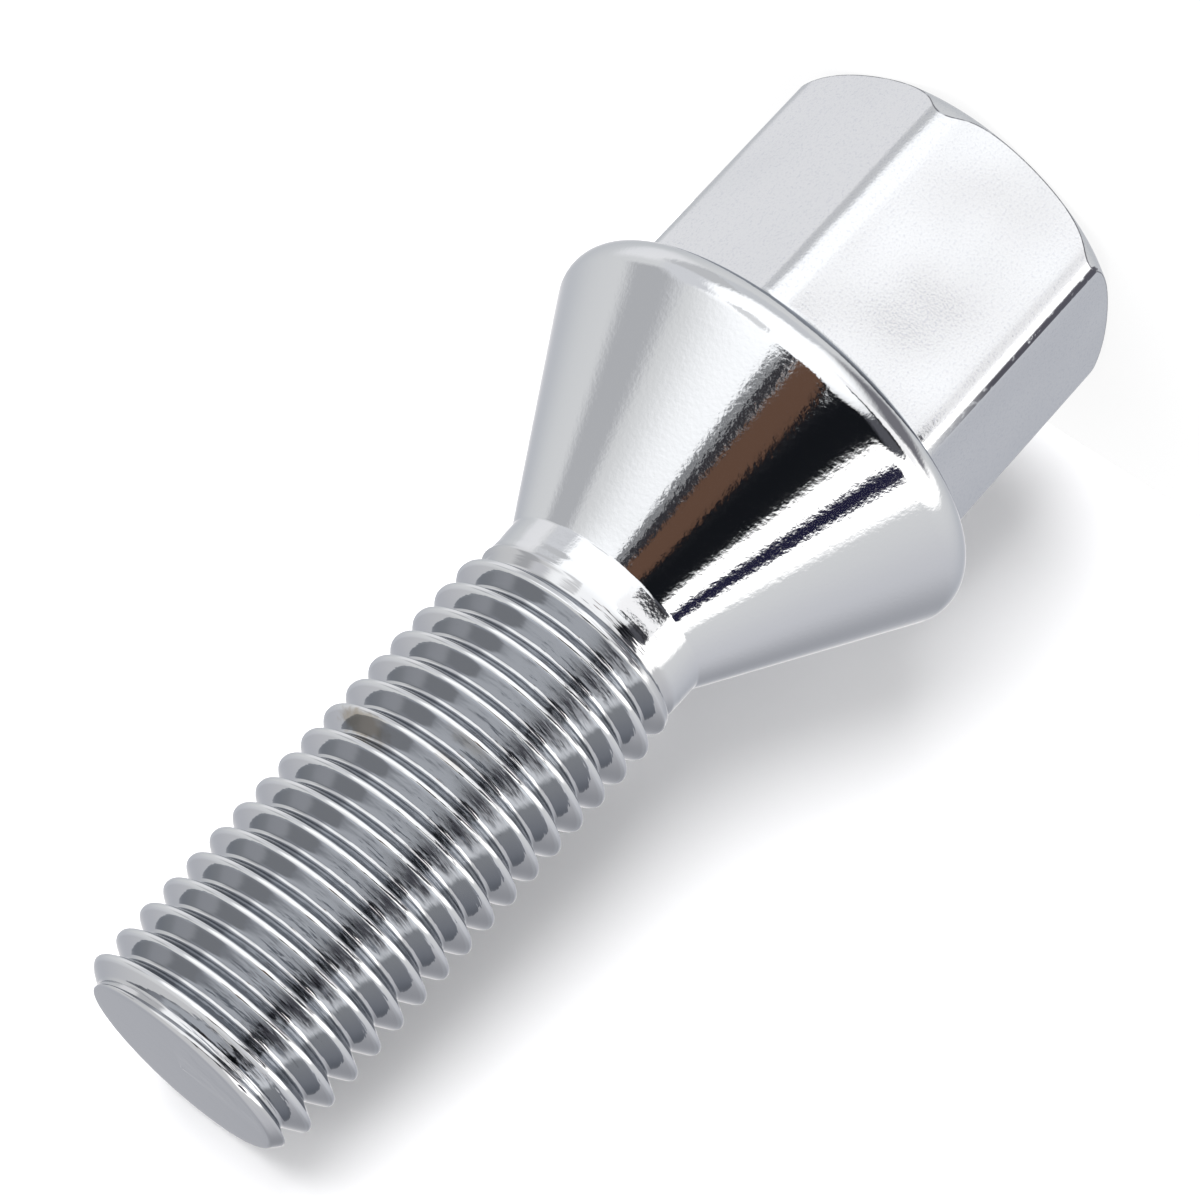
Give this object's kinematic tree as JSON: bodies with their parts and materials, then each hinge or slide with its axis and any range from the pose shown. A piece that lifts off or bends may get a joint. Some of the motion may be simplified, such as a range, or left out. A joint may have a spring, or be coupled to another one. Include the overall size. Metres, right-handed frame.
{
  "type": "wheel bolt",
  "caption": "Chrome-plated wheel bolt with a hexagon head, a rounded collar, a conical seat and a right-hand metric thread, for clamping a road wheel to its hub.",
  "frame": {"origin": "centre of the flat end of the hexagon, on the surface that the bolt stands on", "axes": "+Z along the bolt's axis from the hexagon to the threaded tip, with a flat of the hexagon facing -Y"},
  "size_m": [0.0232, 0.0232, 0.0544],
  "materials": {
    "chrome": "bright chrome plate on forged steel"
  },
  "bodies": {
    "root": {"wheel_bolt": "chrome"}
  },
  "joints": []
}
